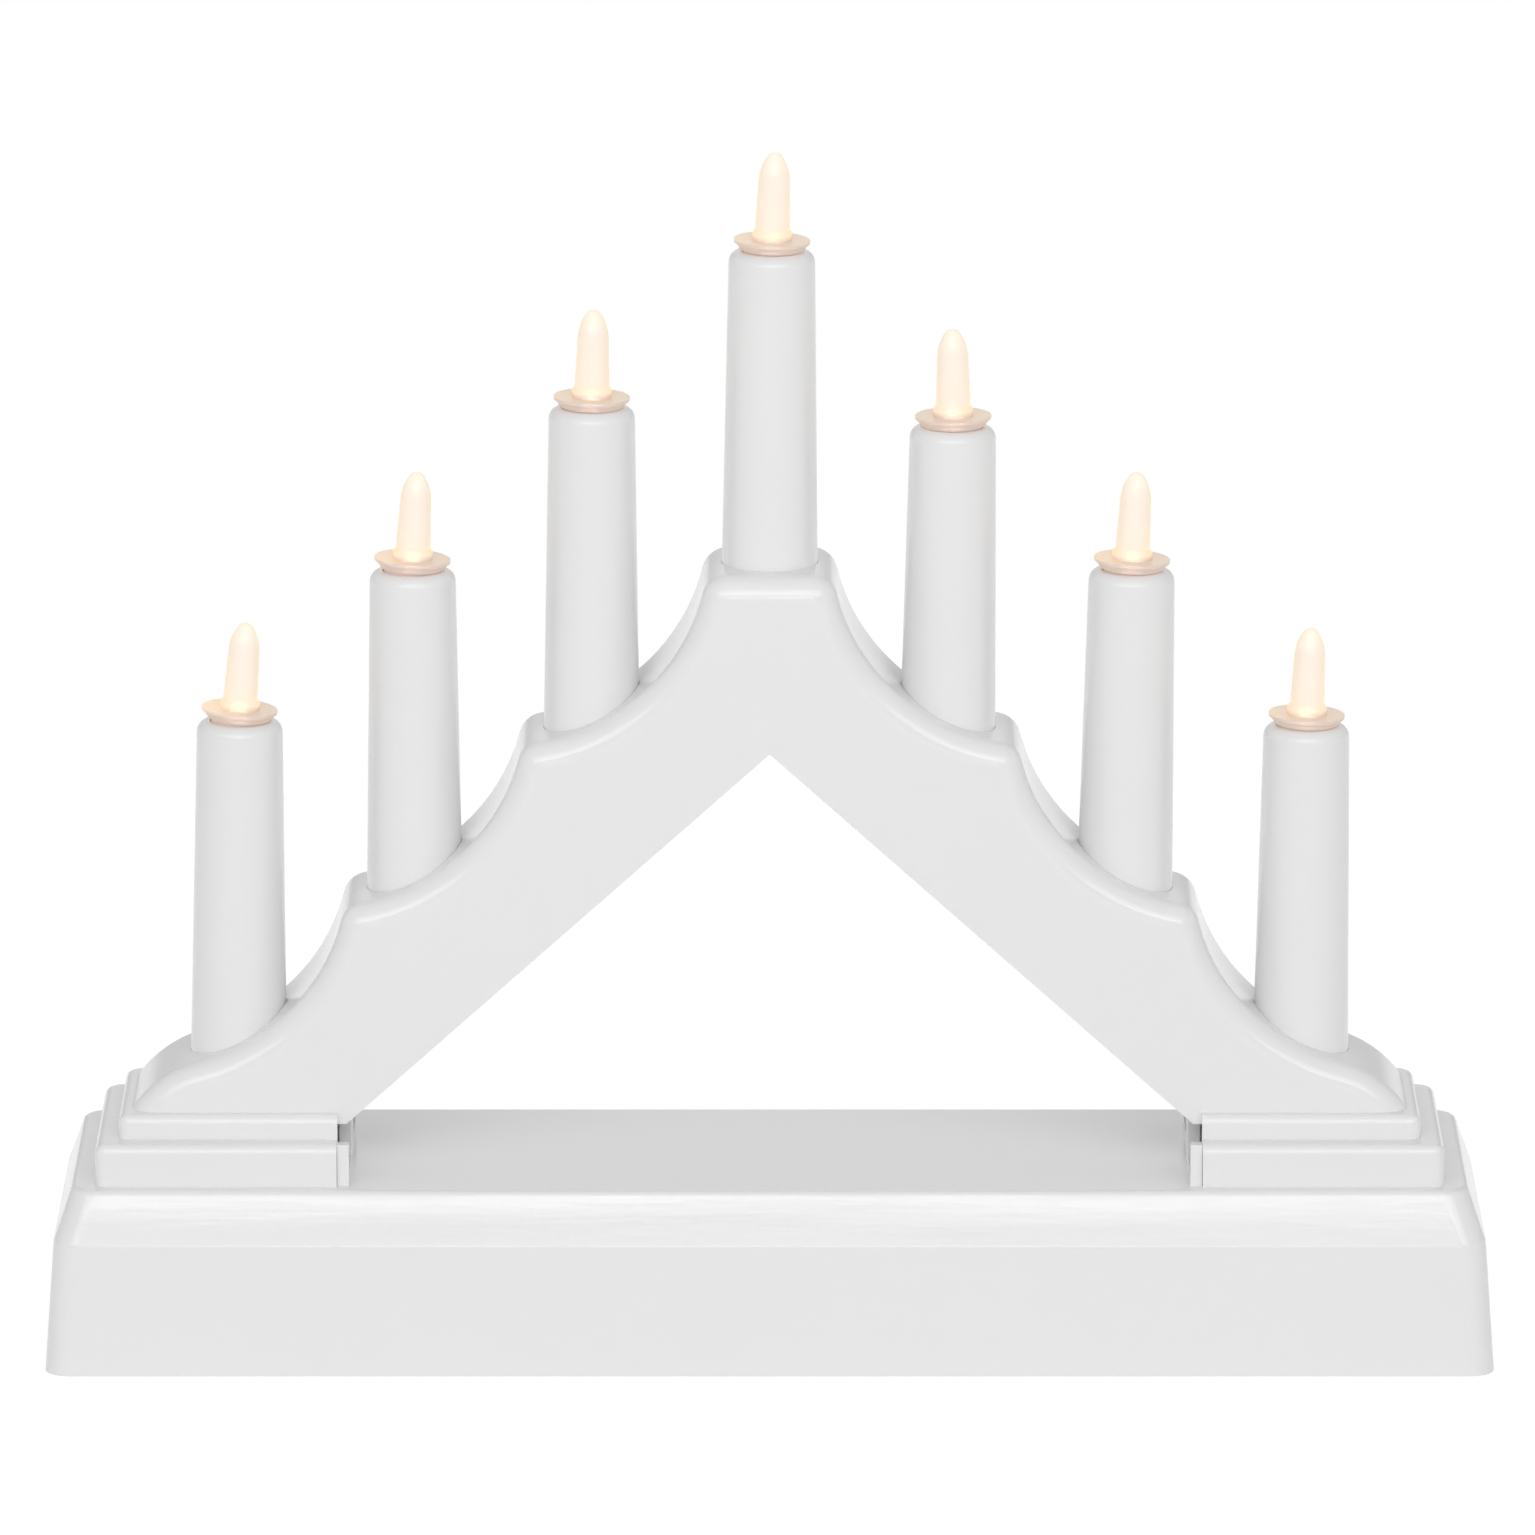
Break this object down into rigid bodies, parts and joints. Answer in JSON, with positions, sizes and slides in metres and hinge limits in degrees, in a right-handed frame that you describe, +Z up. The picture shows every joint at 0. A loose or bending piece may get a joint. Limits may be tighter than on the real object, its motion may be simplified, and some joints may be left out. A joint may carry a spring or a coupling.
{
  "type": "candle arch",
  "caption": "Battery candle arch: white moulded arch with scalloped steps on a box base, straight tube candles and flame-shaped LED caps.",
  "frame": {"origin": "centre of the base's underside, on the plane the rim stands on", "axes": "+X to the viewer's right along the arch, +Y to the rear, +Z up; the front faces -Y"},
  "size_m": [0.225, 0.056, 0.1883],
  "materials": {
    "white_plastic": "smooth white moulding",
    "flame_plastic": "milky, lets light through",
    "warm_diode": "clear, lit warm white",
    "plated_steel": "plated",
    "cell_jacket": "plain printed jacket, unmarked",
    "board_laminate": "solder resist",
    "black_plastic": "moulded",
    "wire_sleeve": "soft insulation"
  },
  "bodies": {
    "arch": {"base_housing": "white_plastic", "arch_shell": "white_plastic", "arch_cover": "white_plastic", "bottom_cover": "white_plastic", "battery_1": "cell_jacket", "battery_2": "cell_jacket", "bridge_contact": "plated_steel", "positive_terminal": "plated_steel", "negative_terminal": "plated_steel", "circuit_board": "board_laminate", "switch_body": "black_plastic", "cover_screws": "plated_steel", "arch_screws": "plated_steel", "wire_loom_left": "wire_sleeve", "wire_loom_right": "wire_sleeve", "candle_tube_1": "white_plastic", "flame_cap_1": "flame_plastic", "led_1": "warm_diode", "candle_tube_2": "white_plastic", "flame_cap_2": "flame_plastic", "led_2": "warm_diode", "candle_tube_3": "white_plastic", "flame_cap_3": "flame_plastic", "led_3": "warm_diode", "candle_tube_4": "white_plastic", "flame_cap_4": "flame_plastic", "led_4": "warm_diode", "candle_tube_5": "white_plastic", "flame_cap_5": "flame_plastic", "led_5": "warm_diode", "candle_tube_6": "white_plastic", "flame_cap_6": "flame_plastic", "led_6": "warm_diode", "candle_tube_7": "white_plastic", "flame_cap_7": "flame_plastic", "led_7": "warm_diode"},
    "door": {"battery_door": "white_plastic"},
    "slider": {"switch_slider": "black_plastic"}
  },
  "joints": [
    {"name": "battery_door_hinge", "type": "hinge", "parent": "arch", "child": "door", "pos_m": [-0.033, 0.01485, 0.0031], "axis": [1, 0, 0], "range_deg": [0, 95]},
    {"name": "switch_slide", "type": "slide", "parent": "arch", "child": "slider", "axis": [1, 0, 0], "range_m": [0, 0.0022]}
  ]
}
